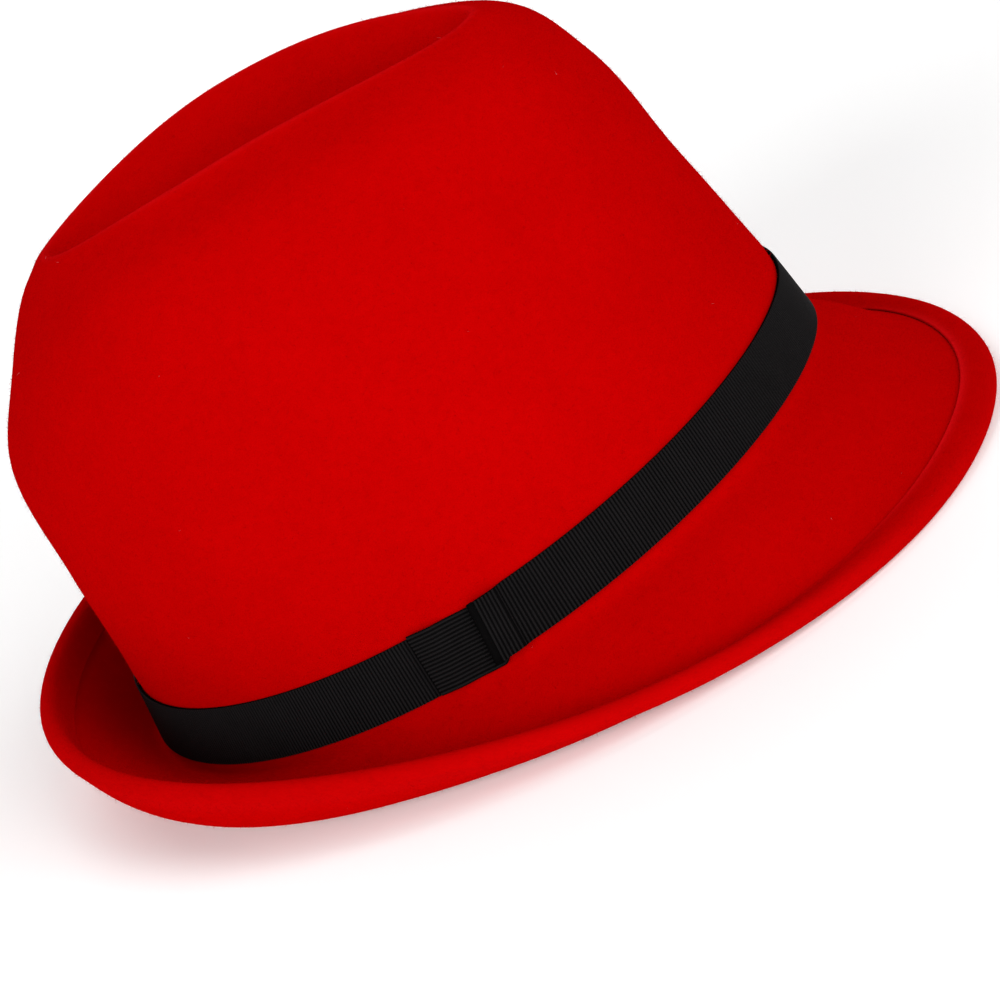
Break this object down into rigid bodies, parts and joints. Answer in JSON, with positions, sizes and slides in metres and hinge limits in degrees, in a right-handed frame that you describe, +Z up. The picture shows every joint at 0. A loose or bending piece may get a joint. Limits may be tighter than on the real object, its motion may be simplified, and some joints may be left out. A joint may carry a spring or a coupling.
{
  "type": "fedora",
  "caption": "Short-brimmed wool felt fedora with a long teardrop dent in the crown, the brim curled up at the sides and back, its edge folded over into a hem, and a grosgrain ribbon with a keeper.",
  "frame": {"origin": "centre of the bounding box on the floor that the hat rests on", "axes": "+X to the front of the hat, +Y to the wearer's left, +Z up"},
  "size_m": [0.2596, 0.23, 0.1453],
  "materials": {
    "red_felt": "matte wool felt with a short nap",
    "black_grosgrain": "ribbed ribbon with a faint sheen"
  },
  "bodies": {
    "root": {"felt_body": "red_felt", "ribbon_band": "black_grosgrain", "ribbon_keeper": "black_grosgrain"}
  },
  "joints": []
}
